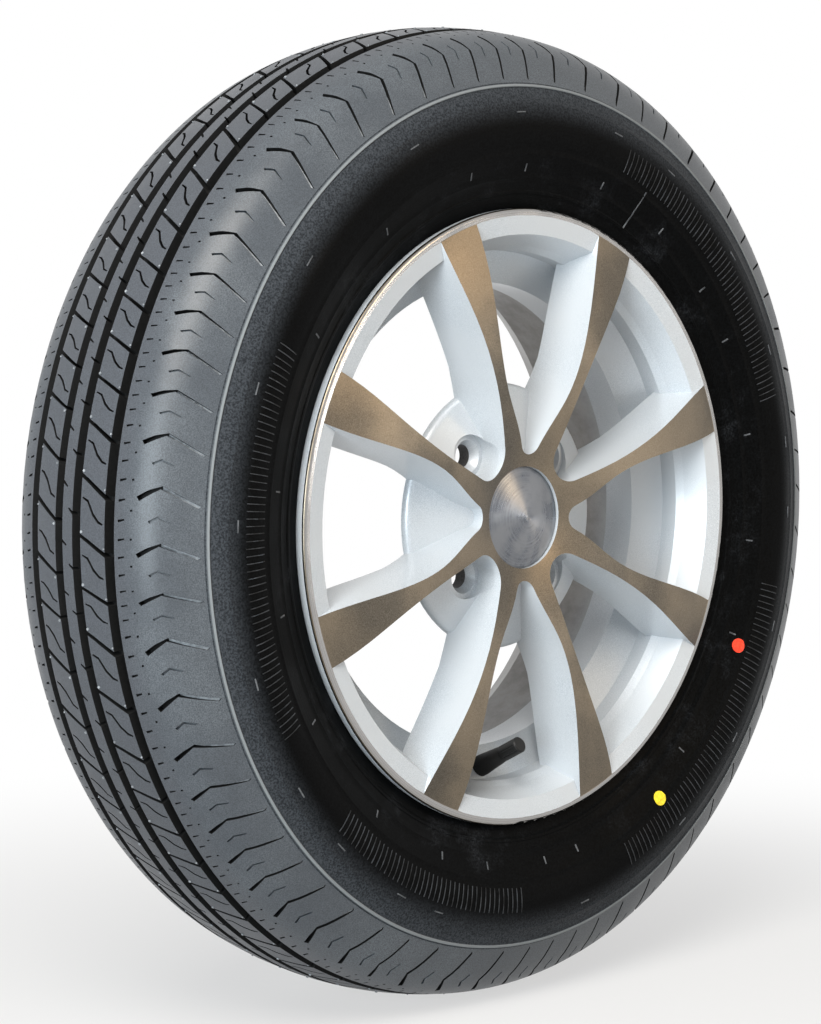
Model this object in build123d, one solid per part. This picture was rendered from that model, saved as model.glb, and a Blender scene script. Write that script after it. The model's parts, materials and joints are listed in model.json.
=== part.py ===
from build123d import *
import math
import os

# A passenger-car wheel with its mounted tyre. Sizes are in millimetres.
# The wheel is drawn lying on its back: Z runs along the axle towards the street side, and Y is up.
# At the end it is stood up, so that the axle lies along Y and the street side faces -Y.

# Rim: a 13 inch drop-centre rim with J flanges
bead_radius = 164.7
rim_width = 114.3
flange_height = 17.5
flange_reach = 12.85
flange_round = 9.5
heel_round = 6.5
lip_round = 2.0
seat_angle = 5.0
seat_width = 16.2
hump_height = 1.0
hump_width = 4.4
well_radius = 144.0
well_width = 15.6
ramp_width = 10.3
barrel_wall = 4.7
band_flat = 4.2
band_step = 11.0
band_drop = 1.6
band_wall = 6.2
band_depth = 15.0
band_round = 1.2

# Disc: eight spokes on a hub with a four-hole lug pattern
spoke_count = 8
clocking = 2.6
hub_front = 65.5
face_crown = 76.0
crown_radius = 100.0
disc_rear = 45.5
waist_radius = 76.0
spoke_waist = 8.0
middle_radius = 125.0
spoke_middle = 16.0
spoke_root = 29.0
flank_draft = 10.0
spoke_overlap = 1.5
spoke_sink = 0.4
hub_offset = 38.0
pad_radius = 68.0
pad_rise = 4.0
floor_inner_drop = 2.5
floor_outer_height = 46.0
window_radius = 79.5
window_round = 5.0
plain_end_radius = 9.0
plain_end_centre = 45.0

# Lugs and centre bore
lug_count = 4
lug_circle = 100.0
lug_hole = 14.0
lug_recess = 26.0
lug_seat_height = 51.0
lug_seat_angle = 60.0
lug_seat_rim = 3.0
centre_bore = 54.1
cap_bore = 57.0
cap_ledge = 47.0
cap_seat = 61.5
snap_height = 56.5
snap_undercut = 0.8

# Centre cap
cap_diameter = 60.0
cap_rim = 2.0
cap_rise = 5.5
cap_wall = 2.0
cap_clearance = 0.15
cap_recess_gap = 0.3
finger_count = 6
finger_wall = 1.6
finger_gap = 10.0
finger_reach = 5.0
finger_hook = 0.5
finger_ramp = 1.5
ring_wire = 1.6
wire_sides = 6
ring_arc = 340.0

# Tyre
tyre_radius = 290.8
section_width = 158.0
crown_half = 40.0
crown_drop = 4.8
shoulder_radius = 253.4
shoulder_half = 71.3
widest_radius = 231.0
tread_thickness = 14.8
shoulder_thickness = 20.7
sidewall_thickness = 7.3
lower_wall_thickness = 13.0
bead_clearance = 0.1
bead_width = 15.0
bead_height = 10.0
groove_width = 6.5
groove_depth = 7.5
groove_taper = 0.7
inner_groove_at = 7.4
outer_groove_at = 31.7
slot_width = 2.6
slot_depth = 3.5
slot_inner = 48.5
slot_bend = 58.5
slot_bend_radius = 275.4
slot_inner_lean = 5.5
slot_outer_lean = 9.5

# Tread pitches: their lengths against the short one, and how many times their order repeats
short_pitch = 1.0
middle_pitch = 1.22
long_pitch = 1.39
pitch_repeats = 6
pitch_start = 131.7
bend_share = 0.24

# Valve, drawn along its own axis from the tyre side of the rim wall outwards
valve_lean = 27.4
valve_hole = 11.5
valve_gap = 0.1
valve_base = 17.2
valve_base_height = 6.5
valve_base_bevel = 2.0
valve_shoulder = 12.8
valve_shoulder_height = 3.0
rubber_tip = 9.6
rubber_length = 26.0
insert_foot = -4.0
stem_thread = 7.7
stem_end = 38.0
stem_chamfer = 0.5
stem_neck = 6.4
stem_neck_top = 22.0
air_bore = 3.9

# Valve core
core_bore = 5.4
core_seat = 26.0
core_cone = 1.0
core_clearance = 0.05
core_sink = 2.5
core_nose = 2.0
core_nose_gap = 0.2
core_nose_bore = 2.0
core_cavity = 2.7
core_lip = 2.0
core_web = 2.0
gasket_height = 1.5
pin_diameter = 1.2
pin_sink = 0.7
collar_gap = 0.5
collar_height = 0.7
cup_height = 1.6
cup_gap = 0.02
pin_foot = 0.5
spring_wire = 0.26
spring_turns = 5

# Valve cap
dust_cap_diameter = 9.8
dust_cap_gap = 0.4
thread_gap = 0.08
dust_cap_top = 2.0
dust_cap_bevel = 0.8
dust_cap_flutes = 8
flute_diameter = 1.2
seal_height = 1.0
seal_gap = 0.12

half_rim = rim_width / 2
lip_height = half_rim + flange_reach
flange_radius = bead_radius + flange_height
spoke_step = 360 / spoke_count
half_gap = math.radians(spoke_step / 2)


def tan(degrees):
    return math.tan(math.radians(degrees))


def turned(*edges):
    """A solid of revolution about Z from edges drawn as (radius, height)."""
    return revolve(Plane.XZ * make_face(list(edges)), Axis.Z)


def turned_outline(points, rounds=None):
    """A solid of revolution about Z from a closed outline, with some of its corners rounded."""
    if rounds is None:
        return turned(Polyline(*points, close=True))
    radii = [rounds.get(point, 0) for point in points]
    return turned(FilletPolyline(*points, radius=radii, close=True))


def around(shape, count, start=0.0):
    """Copies of a shape, spaced evenly about Z."""
    return [Rot(0, 0, start + index * 360 / count) * shape for index in range(count)]


# Barrel
seat_end = half_rim - seat_width
seat_low = bead_radius - seat_width * tan(seat_angle)
hump_top = seat_low + hump_height
hump_end = seat_end - hump_width
hump_low = seat_low - hump_height / 2
well_front = hump_end - (hump_low - well_radius) * tan(valve_lean)
well_back = well_front - well_width
ramp_top = hump_low - hump_height / 2
ramp_end = well_back - ramp_width
bore_radius = hump_low - barrel_wall
well_bore = well_radius - barrel_wall
wall_shift = barrel_wall / math.cos(math.radians(valve_lean))
wall_top = hump_end + wall_shift - (hump_low - bore_radius) * tan(valve_lean)
wall_low = wall_top - (bore_radius - well_bore) * tan(valve_lean)
ramp_slope = ramp_width / (ramp_top - well_radius)
ramp_shift = barrel_wall * math.hypot(1, ramp_slope)
ramp_bore_low = well_back - ramp_shift + (well_radius - well_bore) * ramp_slope
band_edge = flange_radius - band_flat
band_inner = band_edge - band_step
window_outer = band_inner - band_wall
window_edge_height = lip_height - band_depth
barrel_front = window_edge_height - barrel_wall


def seat_points(side):
    """The bead seat and hump of one side, from the flange wall towards the well."""
    return [
        (flange_radius, side * half_rim),
        (bead_radius, side * half_rim),
        (seat_low, side * seat_end),
        (hump_top, side * (seat_end - hump_width / 2)),
        (hump_low, side * hump_end),
    ]


def make_barrel():
    outboard = seat_points(1)
    inboard = seat_points(-1)
    inboard.reverse()
    ramp_bore = bore_radius - barrel_wall / 4
    path = [(flange_radius, lip_height)]
    path += outboard
    path += [(well_radius, well_front), (well_radius, well_back), (ramp_top, ramp_end)]
    path += inboard
    path += [
        (flange_radius, -lip_height),
        (flange_radius - flange_reach / 2, -lip_height),
        (bead_radius, -half_rim - flange_reach / 2),
        (bore_radius, -half_rim + flange_reach / 2),
        (ramp_bore, ramp_end - ramp_shift),
        (well_bore, ramp_bore_low),
        (well_bore, wall_low),
        (bore_radius, wall_top),
        (bore_radius, barrel_front),
        (window_outer, window_edge_height),
        (band_inner, lip_height - band_drop),
        (band_edge, lip_height),
    ]
    rounds = {(window_outer, window_edge_height): band_round}
    for side in (1, -1):
        rounds[(flange_radius, side * lip_height)] = lip_round
        rounds[(flange_radius, side * half_rim)] = flange_round
        rounds[(bead_radius, side * half_rim)] = heel_round
    return turned_outline(path, rounds)


# Spokes
face_end = (band_edge + spoke_overlap, lip_height - spoke_sink)


def spoke_edge(along, half_width):
    """A point beside the spoke that lies half a gap clockwise of the gap's middle."""
    across = (math.sin(half_gap), math.cos(half_gap))
    inward = (-math.cos(half_gap), math.sin(half_gap))
    return (along * across[0] + half_width * inward[0], along * across[1] + half_width * inward[1])


def gap_outline(end_centre, end_radius, spread):
    """The gap between two spokes, with each edge moved inwards by spread."""
    far = flange_radius + flange_reach
    radius = end_radius - spread
    start = spoke_edge(end_centre * math.cos(half_gap), end_centre * math.sin(half_gap) - radius)
    points = [
        start,
        spoke_edge(waist_radius, spoke_waist / 2 + spread),
        spoke_edge(middle_radius, spoke_middle / 2 + spread),
        spoke_edge(band_edge, spoke_root / 2 + spread),
        spoke_edge(far, spoke_root / 2 + spread),
    ]
    along = (math.sin(half_gap), math.cos(half_gap))
    right = Spline(*points, tangents=[along, along])
    left = mirror(right, Plane.YZ)
    outer = Line(right @ 1, left @ 1)
    end = ThreePointArc(left @ 0, (0, end_centre - radius), right @ 0)
    return make_face([right, outer, left, end])


def gap_cutter(end_centre, end_radius):
    """A drafted block that opens one gap between two spokes."""
    top = face_crown + barrel_wall
    bottom = hub_offset - pad_rise
    draft = tan(flank_draft)
    upper = gap_outline(end_centre, end_radius, (face_crown - top) * draft)
    lower = gap_outline(end_centre, end_radius, (face_crown - bottom) * draft)
    return loft([Pos(0, 0, bottom) * lower, Pos(0, 0, top) * upper], ruled=True)


def make_spokes():
    inner = cap_diameter / 2 + cap_recess_gap
    embed = bore_radius + barrel_wall / 2
    face = ThreePointArc((inner, hub_front), (crown_radius, face_crown), face_end)
    rest = Polyline(
        face_end,
        (face_end[0], half_rim + flange_reach / 2),
        (band_inner, half_rim + flange_reach / 3),
        (embed, half_rim - barrel_wall),
        (embed, disc_rear),
        (crown_radius, disc_rear),
        (pad_radius + pad_rise, hub_offset + pad_rise),
        (inner, hub_offset + pad_rise),
        (inner, hub_front),
    )
    disc = turned(face, rest)
    lug_end = lug_circle / 2 * math.sin(half_gap) - spoke_waist / 2
    plain = around(gap_cutter(plain_end_centre, plain_end_radius), spoke_count // 2)
    lugs = around(gap_cutter(lug_circle / 2, lug_end), spoke_count // 2, spoke_step)
    return disc - plain - lugs


def make_hub():
    bore = centre_bore / 2
    cap_hole = cap_bore / 2
    recess = cap_diameter / 2 + cap_recess_gap
    window_corner = (window_radius, floor_outer_height)
    outline = [
        (bore, hub_offset),
        (pad_radius, hub_offset),
        (pad_radius + pad_rise, hub_offset + pad_rise / 2),
        (window_radius, hub_offset + pad_rise),
        window_corner,
        (recess + pad_rise, hub_front - floor_inner_drop),
        (recess, hub_front),
        (recess, cap_seat),
        (cap_hole, cap_seat),
        (cap_hole, snap_height),
        (cap_hole + snap_undercut, snap_height - snap_undercut),
        (cap_hole + snap_undercut, cap_ledge),
        (bore, cap_ledge),
    ]
    return turned_outline(outline, {window_corner: window_round})


def lug_cutter():
    """A nut recess with its cone seat and bolt hole, over the pattern's first hole."""
    recess = lug_recess / 2
    hole = lug_hole / 2
    cone_top = recess - lug_seat_rim
    cone_height = (cone_top - hole) / tan(lug_seat_angle / 2)
    cutter = turned_outline(
        [
            (0, hub_offset - pad_rise),
            (hole, hub_offset - pad_rise),
            (hole, lug_seat_height - cone_height),
            (cone_top, lug_seat_height),
            (recess, lug_seat_height),
            (recess, face_crown),
            (0, face_crown),
        ]
    )
    return Rot(0, 0, -spoke_step) * Pos(0, lug_circle / 2, 0) * cutter


# The valve sits square in the sloping wall between the bead seat and the well, in the lowest gap.
wall_middle = (hump_low + well_radius) / 2
wall_middle_height = hump_end - (hump_low - wall_middle) * tan(valve_lean)
lean = math.radians(valve_lean)
valve_plane = Plane(
    origin=(0, -wall_middle, wall_middle_height),
    x_dir=(1, 0, 0),
    z_dir=(0, math.sin(lean), math.cos(lean)),
)


def make_wheel():
    body = make_barrel() + make_spokes() + make_hub()
    valve_drill = Cylinder(valve_hole / 2, 4 * barrel_wall)
    return body - around(lug_cutter(), lug_count) - valve_plane.location * valve_drill


# Centre cap
finger_radius = cap_bore / 2 - cap_clearance
finger_foot = snap_height - finger_reach
cap_shoulder = cap_seat + cap_rim
cap_top = cap_shoulder + cap_rise


def dome_arc(edge_radius, edge_height, top_height):
    """An arc of a sphere from the cap's edge up to its middle."""
    rise = top_height - edge_height
    sphere = (edge_radius**2 + rise**2) / (2 * rise)
    part_way = edge_radius / 2
    part_height = top_height - sphere + math.sqrt(sphere**2 - part_way**2)
    return ThreePointArc((edge_radius, edge_height), (part_way, part_height), (0, top_height))


def make_centre_cap():
    edge = cap_diameter / 2
    inner = finger_radius - finger_wall
    hook = finger_radius + finger_hook
    dome = dome_arc(edge, cap_shoulder, cap_top)
    hollow = dome_arc(inner, cap_seat, cap_top - cap_wall)
    section = Polyline(
        (inner, cap_seat),
        (inner, finger_foot),
        (finger_radius, finger_foot),
        (hook, finger_foot + finger_ramp),
        (hook, snap_height - snap_undercut),
        (finger_radius, snap_height - snap_undercut / 2),
        (finger_radius, cap_seat),
        (edge, cap_seat),
        (edge, cap_shoulder),
    )
    middle = Line((0, cap_top), (0, cap_top - cap_wall))
    cap = turned(section, dome, middle, hollow)
    notch_height = cap_seat - finger_foot - cap_clearance
    notch = Pos(0, finger_radius, finger_foot + notch_height / 2 - cap_clearance) * Box(
        finger_gap, finger_wall * 4, notch_height
    )
    return cap - around(notch, finger_count)


def make_cap_ring():
    """An open ring of spring wire inside the cap's fingers."""
    wire = ring_wire / 2
    middle = finger_radius - finger_wall - wire - core_clearance
    section = Plane.XZ * Pos(middle, finger_foot + finger_reach / 2) * RegularPolygon(wire, wire_sides)
    return revolve(section, Axis.Z, revolution_arc=ring_arc)


# Tyre
half_section = section_width / 2
crown_edge = tyre_radius - crown_drop
cavity_radius = tyre_radius - tread_thickness
clinch = (flange_radius + flange_height / 3, lip_height - flange_reach / 3)


def flange_contact(degrees):
    """A point of the bead that lies against the flange's round."""
    reach = flange_round + bead_clearance
    turn = math.radians(degrees)
    centre = (flange_radius - flange_round, half_rim + flange_round)
    return (centre[0] + reach * math.sin(turn), centre[1] - reach * math.cos(turn))


def tyre_crown():
    return TangentArc((tyre_radius, 0), (crown_edge, crown_half), tangent=(0, 1))


def tyre_sidewall():
    """The outer line from the tread's edge over the widest point down to the rim flange."""
    crown_angle = 2 * math.atan(crown_drop / crown_half)
    return Spline(
        (crown_edge, crown_half),
        (slot_bend_radius, slot_bend),
        (shoulder_radius, shoulder_half),
        (widest_radius, half_section),
        clinch,
        flange_contact(45),
        tangents=[(-math.sin(crown_angle), math.cos(crown_angle)), (-1, -1)],
    )


def tyre_cavity():
    """The inner line from the bead's toe up to the tread's middle."""
    return Spline(
        (bead_radius + bead_height, half_rim - bead_width),
        (clinch[0], clinch[1] - lower_wall_thickness),
        (widest_radius, half_section - sidewall_thickness),
        (crown_edge - shoulder_thickness, crown_half + sidewall_thickness),
        (cavity_radius, 0),
        tangents=[(1, 0.25), (0, -1)],
    )


def make_tyre_half():
    """The street half of the tyre, from the tread's middle to the bead."""
    sidewall = tyre_sidewall()
    cavity = tyre_cavity()
    against_flange = ThreePointArc(flange_contact(45), flange_contact(22.5), flange_contact(0))
    bead_foot = bead_radius + bead_clearance
    bead = FilletPolyline(
        flange_contact(0),
        (bead_foot, half_rim - bead_clearance),
        (bead_foot - bead_width * tan(seat_angle), half_rim - bead_width),
        cavity @ 0,
        radius=[heel_round, 0],
    )
    middle = Line((cavity_radius, 0), (tyre_radius, 0))
    return turned(tyre_crown(), sidewall, against_flange, bead, cavity, middle)


def groove_cutter(middle):
    """A tapered groove round the tread, following the crown's curve."""
    drop = crown_drop * (middle / crown_half) ** 2
    floor = tyre_radius - drop - groove_depth
    half_top = groove_width / 2
    half_floor = half_top * groove_taper
    return turned_outline(
        [
            (floor, middle - half_floor),
            (floor, middle + half_floor),
            (floor + groove_depth, middle + half_top),
            (tyre_radius + groove_depth, middle + half_top),
            (tyre_radius + groove_depth, middle - half_top),
            (floor + groove_depth, middle - half_top),
        ]
    )


def slot_cutter():
    """A bent slot across the shoulder at the turn of X, deepest at its inner end."""
    half = slot_width / 2
    outline = Polyline(
        (slot_inner_lean - half, slot_inner),
        (-half, slot_bend),
        (slot_outer_lean - half, shoulder_half),
        (slot_outer_lean + half, shoulder_half),
        (half, slot_bend),
        (slot_inner_lean + half, slot_inner),
        close=True,
    )
    above_floor = Polyline(
        (crown_edge - slot_depth, crown_half),
        (slot_bend_radius - slot_depth, slot_bend),
        (shoulder_radius - slot_depth / 2, shoulder_half),
        (tyre_radius, shoulder_half),
        (tyre_radius, crown_half),
        close=True,
    )
    reach = slot_inner_lean + slot_outer_lean + slot_width
    block = extrude(Plane.YZ * make_face(outline), tyre_radius)
    return block & extrude(Plane.XZ * make_face(above_floor), reach, both=True)


def slot_turns():
    """The turn of each slot's bend round the tyre, from pitches of three lengths in a mixed order."""
    short, middle, long = short_pitch, middle_pitch, long_pitch
    order = [long, long, middle, short, short, short, short, middle, long, middle, short]
    degrees = 360 / pitch_repeats / sum(order)
    turns = []
    start = pitch_start
    for pitch in order * pitch_repeats:
        turns.append(start + bend_share * pitch * degrees)
        start += pitch * degrees
    return turns


def make_tyre():
    """Two equal halves, the inner one turned about so that the tread looks the same either way up."""
    slot = slot_cutter()
    half = make_tyre_half() - groove_cutter(inner_groove_at) - groove_cutter(outer_groove_at)
    half = half - [Rot(0, 0, turn) * slot for turn in slot_turns()]
    return half + Rot(180, 0, 0) * half


# Valve
stem_radius = stem_thread / 2
neck_radius = stem_neck / 2
air_radius = air_bore / 2
neck_step = stem_neck_top + stem_radius - neck_radius


def make_valve_body():
    base = valve_base / 2
    waist = valve_hole / 2 - valve_gap / 2
    shoulder = valve_shoulder / 2
    foot = barrel_wall + valve_gap
    return turned_outline(
        [
            (air_radius, -valve_base_height),
            (base - valve_base_bevel, -valve_base_height),
            (base, valve_base_bevel - valve_base_height),
            (base, 0),
            (waist, 0),
            (waist, foot),
            (shoulder, foot),
            (shoulder, foot + valve_shoulder_height),
            (rubber_tip / 2, rubber_length),
            (stem_radius, rubber_length),
            (stem_radius, neck_step),
            (neck_radius, stem_neck_top),
            (neck_radius, insert_foot),
            (air_radius, insert_foot),
        ]
    )


core_radius = core_bore / 2


def make_valve_insert():
    return turned_outline(
        [
            (air_radius, insert_foot),
            (neck_radius, insert_foot),
            (neck_radius, stem_neck_top),
            (stem_radius, neck_step),
            (stem_radius, stem_end - stem_chamfer),
            (stem_radius - stem_chamfer, stem_end),
            (core_radius, stem_end),
            (core_radius, core_seat),
            (air_radius, core_seat - core_cone),
        ]
    )


# Valve core
core_fit = core_radius - core_clearance
nose_radius = air_radius - core_nose_gap
nose_foot = core_seat - core_cone - core_nose
spring_foot = nose_foot + core_lip
gasket_top = core_seat + gasket_height
barrel_top = stem_end - core_sink
web_foot = barrel_top - core_web
pin_radius = pin_diameter / 2
collar_top = web_foot - collar_gap
collar_foot = collar_top - collar_height
cavity_bore = core_cavity / 2
nose_bore = core_nose_bore / 2
cup_top = nose_foot - cup_gap
cup_foot = cup_top - cup_height
cup_radius = nose_radius - core_nose_gap


def make_core_barrel():
    guide = pin_radius + core_clearance
    return turned_outline(
        [
            (nose_bore, nose_foot),
            (nose_radius, nose_foot),
            (nose_radius, gasket_top),
            (core_fit, gasket_top),
            (core_fit, barrel_top),
            (guide, barrel_top),
            (guide, web_foot),
            (cavity_bore, web_foot),
            (cavity_bore, spring_foot),
            (nose_bore, spring_foot),
        ]
    )


def make_core_gasket():
    ring = Cylinder(core_fit, gasket_height) - Cylinder(nose_radius, gasket_height)
    return Pos(0, 0, core_seat + gasket_height / 2) * ring


def make_core_pin():
    collar = cavity_bore - core_nose_gap
    return turned_outline(
        [
            (0, cup_foot - pin_foot),
            (cup_radius - core_nose_gap, cup_foot - pin_foot),
            (cup_radius - core_nose_gap, cup_foot),
            (pin_radius, cup_foot),
            (pin_radius, collar_foot),
            (collar, collar_foot),
            (collar, collar_top),
            (pin_radius, collar_top),
            (pin_radius, stem_end - pin_sink),
            (0, stem_end - pin_sink),
        ]
    )


def make_core_cup():
    cup = Cylinder(cup_radius, cup_height) - Cylinder(pin_radius, cup_height)
    return Pos(0, 0, cup_foot + cup_height / 2) * cup


def make_core_spring():
    middle = (nose_bore + cavity_bore) / 2
    wire = spring_wire / 2
    height = collar_foot - spring_foot - spring_wire
    coil = Helix(height / spring_turns, height, middle)
    section = Plane(coil @ 0, z_dir=coil % 0) * RegularPolygon(wire, wire_sides)
    return Pos(0, 0, spring_foot + wire) * sweep(section, coil)


# Valve cap
thread_bore = stem_radius + thread_gap
seal_foot = stem_end + seal_gap
seal_top = seal_foot + seal_height
seal_ceiling = seal_top + seal_gap


def make_valve_cap():
    outer = dust_cap_diameter / 2
    foot = rubber_length + dust_cap_gap
    top = seal_ceiling + dust_cap_top
    cap = turned_outline(
        [
            (0, seal_ceiling),
            (thread_bore, seal_ceiling),
            (thread_bore, foot),
            (outer, foot),
            (outer, top - dust_cap_bevel),
            (outer - dust_cap_bevel, top),
            (0, top),
        ]
    )
    flute = Pos(outer + flute_diameter / 4, 0, (foot + top) / 2) * Cylinder(
        flute_diameter / 2, top - foot - dust_cap_top
    )
    return cap - around(flute, dust_cap_flutes)


def make_cap_seal():
    return Pos(0, 0, seal_foot + seal_height / 2) * Cylinder(thread_bore - seal_gap, seal_height)


wheel_nodes = {
    "wheel": make_wheel(),
    "tyre": make_tyre(),
    "centre_cap": make_centre_cap(),
    "centre_cap_ring": make_cap_ring(),
}
valve_nodes = {
    "valve_body": make_valve_body(),
    "valve_insert": make_valve_insert(),
    "valve_core_barrel": make_core_barrel(),
    "valve_core_gasket": make_core_gasket(),
    "valve_core_pin": make_core_pin(),
    "valve_core_cup": make_core_cup(),
    "valve_core_spring": make_core_spring(),
    "valve_cap": make_valve_cap(),
    "valve_cap_seal": make_cap_seal(),
}

os.makedirs("parts", exist_ok=True)
stand_up = Rot(90, 0, 0) * Rot(0, 0, -clocking)
placed = {name: stand_up * shape for name, shape in wheel_nodes.items()}
placed |= {name: stand_up * valve_plane.location * shape for name, shape in valve_nodes.items()}
for name, shape in placed.items():
    print(name, len(shape.solids()), round(shape.volume, 2), shape.is_valid)
    export_step(shape, f"parts/{name}.step")
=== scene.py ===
import json
import math
from bisect import bisect_right

import bmesh
import bpy
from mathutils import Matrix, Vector
from mathutils.bvhtree import BVHTree
from mathutils.geometry import delaunay_2d_cdt


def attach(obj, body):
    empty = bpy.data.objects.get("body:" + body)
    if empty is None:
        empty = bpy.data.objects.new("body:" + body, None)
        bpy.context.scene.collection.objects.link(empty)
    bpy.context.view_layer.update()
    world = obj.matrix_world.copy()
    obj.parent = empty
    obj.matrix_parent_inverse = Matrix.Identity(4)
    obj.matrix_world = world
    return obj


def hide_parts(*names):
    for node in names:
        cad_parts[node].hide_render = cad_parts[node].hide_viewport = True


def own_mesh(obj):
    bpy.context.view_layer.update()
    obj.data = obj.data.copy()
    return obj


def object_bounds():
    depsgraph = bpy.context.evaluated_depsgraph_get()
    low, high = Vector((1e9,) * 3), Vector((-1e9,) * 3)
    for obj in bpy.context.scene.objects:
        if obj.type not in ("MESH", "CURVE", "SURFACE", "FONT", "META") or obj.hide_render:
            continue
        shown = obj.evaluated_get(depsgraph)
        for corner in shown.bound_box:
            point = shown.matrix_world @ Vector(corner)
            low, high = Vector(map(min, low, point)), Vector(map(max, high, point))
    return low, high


# The looks of a wheel and tyre assembly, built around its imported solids. Lengths are in metres.
# The axle lies along Y, and the street side faces -Y.
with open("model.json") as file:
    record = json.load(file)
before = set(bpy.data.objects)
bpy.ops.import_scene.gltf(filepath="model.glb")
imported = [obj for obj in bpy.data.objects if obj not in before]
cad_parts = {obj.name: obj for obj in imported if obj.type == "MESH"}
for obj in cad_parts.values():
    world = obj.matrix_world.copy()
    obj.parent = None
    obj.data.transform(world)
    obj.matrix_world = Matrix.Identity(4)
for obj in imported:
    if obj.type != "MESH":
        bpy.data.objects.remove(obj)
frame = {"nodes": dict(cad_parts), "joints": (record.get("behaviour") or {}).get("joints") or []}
cad_low, cad_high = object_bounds()
nodes = frame["nodes"]
MM = 0.001

# Camera of the photograph, which is taken to be 821 by 1024 pixels
CAMERA_AZIMUTH = -45.76
CAMERA_ELEVATION = 4.12
CAMERA_DISTANCE = 1.7907
CAMERA_LENS = 103.64
CAMERA_SHIFT = -0.0336

# Turned face of the spokes, as points of (radius, distance towards the street)
FACE_START = (30.3 * MM, 65.5 * MM)
FACE_CROWN = (100.0 * MM, 76.0 * MM)
FACE_END = (179.5 * MM, 69.6 * MM)
FACE_TOLERANCE = 0.35 * MM

# Rim edge, lug holes, and the distance inboard over which the barrel's paint turns dull and darker, a dull
# finish with a painted shade deeper in the barrel
LIP_HEIGHT = 70.0 * MM
EDGE_START = 176.0 * MM
EDGE_TOLERANCE = 2.2 * MM
LUG_ANGLES = [47.6 + turn for turn in (0, 90, 180, 270)]
LUG_CIRCLE = 50.0 * MM
LUG_HOLE = 7.3 * MM
DULL_SHADE_RANGE = (-12 * MM, 26 * MM)

# Material slots of the wheel and of the tyre, in their order, and the only one of a paint dab
# The wheel's last slot darkens the bores of the lug holes as a painted shade
PAINTED, TURNED, EDGE, BARE_SHADE = range(4)
TREAD, SIDE, GROOVE_SHADE, DUSTY_HIGHLIGHT, HATCH_HIGHLIGHT, DASH_HIGHLIGHT = range(6)
DAB = 0

# Tread: pitches in degrees and their order round the tyre, and the grooves' distances from its middle
PITCH_ANGLES = {"long": 6.5, "middle": 5.7, "short": 4.68}
PITCH_ORDER = "long long middle short short short short middle long middle short".split()
PITCH_TURNS = 6
PITCH_START = -39.1
MEAN_PITCH = 27.6 * MM
CELL_STEPS = 6
CELL_TOLERANCE = 1e-6
GROOVES = (7.4 * MM, 31.7 * MM)
GROOVE_HALF_TOP = 3.25 * MM
GROOVE_HALF_FLOOR = 2.3 * MM
GROOVE_DEPTH = 7.5 * MM
GROOVE_MARGIN = MM / 2
RIB_ROW = 4.5 * MM
TREAD_EDGE = 255.2 * MM
# Distances from the middle over which the tread turns paler and bluer towards its shoulders: dust bloom,
# and a painted sheen
BLOOM_SHEEN_RANGE = (34 * MM, 50 * MM)

# Cuts in one mean pitch, as lines of (across, along, width, depth) in millimetres
SLOT = [(48.5, 15.2, 2.4, 5.0), (54.0, 18.6, 2.1, 4.6), (58.5, 21.0, 1.7, 4.0), (69.4, 12.4, 1.2, 0.9)]
SHORT_SLOT = [(54.0, 4.6, 1.3, 2.0), (57.6, 7.0, 1.2, 2.0), (61.8, 4.4, 1.0, 0.8)]
RIB_NOTCH = [(9.4, 24.8, 1.8, 6.0), (16.0, 21.6, 2.0, 6.0), (29.6, 14.2, 2.4, 6.0)]
RIB_SIPE = [
    (12.0, 14.2, 0.8, 4.0),
    (16.0, 12.6, 1.3, 4.0),
    (20.0, 6.8, 1.5, 4.0),
    (24.0, 3.4, 1.3, 4.0),
    (27.0, 2.4, 0.8, 4.0),
]
MIDDLE_NOTCH = [(0.8, 9.0, 0.9, 4.0), (5.2, 6.2, 1.6, 5.0)]
EDGE_TICKS = [[(37.4, place, 1.2, 1.8), (41.4, place + 0.8, 0.8, 1.4)] for place in (4.6, 13.8, 23.0)]
EDGE_PITS = [[(44.8, place, 1.0, 1.4), (46.0, place + 0.3, 1.0, 1.4)] for place in (9.5, 23.5)]
# Past this distance across, the floor of a long slot takes the pale rubber, a painted highlight
HIGHLIGHT_FROM = 59.0 * MM

# Vent stubs in one mean pitch, as (across, along, radius) in millimetres
VENTS = [(11.7, 26.2, 0.75), (28.0, 18.0, 0.5)]
VENT_HEIGHT = 0.5 * MM
VENT_SIDES = 8

# Dashes of the street sidewall, in rows of (radius, length, width, height, turn), at angles clockwise
DASH_ROWS = [
    (238.0 * MM, 1.0 * MM, 7.0 * MM, 0.4 * MM, 238.0),
    (206.0 * MM, 4.5 * MM, 0.9 * MM, 0.4 * MM, 206.0),
]
DASH_ANGLES = [-68, -37, -29, -15, -4, 13, 34, 52, 71, 96, 118, 139, 152, 171, 188, 203, 214, 232, 251, 268]

# One long dash, as (angle, (inner radius, outer radius), width, height)
SEAM_MARK = (26.5, (193.0 * MM, 217.0 * MM), 0.7 * MM, 0.35 * MM)

# Bands of fine hatching, as (first angle, last angle)
HATCHED = [(-118.0, -62.0), (20.0, 74.0), (104.0, 160.0), (184.0, 226.0)]
HATCH_BAND = (219.0 * MM, 233.0 * MM)
HATCH_STEP = 1.0
HATCH_WIDTH = 0.5 * MM
HATCH_HEIGHT = 0.3 * MM
MARK_SINK = 0.3 * MM
BAR_LENGTH = 4.0 * MM

# Paint dabs, as (angle, radius), with their rows as shares of the dab's radius
PAINT_DOTS = {"red_dot": (115.6, 212.0 * MM), "yellow_dot": (147.8, 213.2 * MM)}
DOT_RADIUS = 4.8 * MM
DOT_HEIGHT = 0.4 * MM
DOT_ROWS = (1.0, 0.95, 0.84, 0.72, 0.60, 0.48, 0.36, 0.24, 0.12)
DOT_SIDES = 28
DOT_COLOURS = {
    "red_dot": ((0.72, 0.035, 0.012, 1.0), (0.90, 0.06, 0.02, 1.0)),
    "yellow_dot": ((0.70, 0.52, 0.012, 1.0), (0.88, 0.68, 0.03, 1.0)),
}

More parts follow.
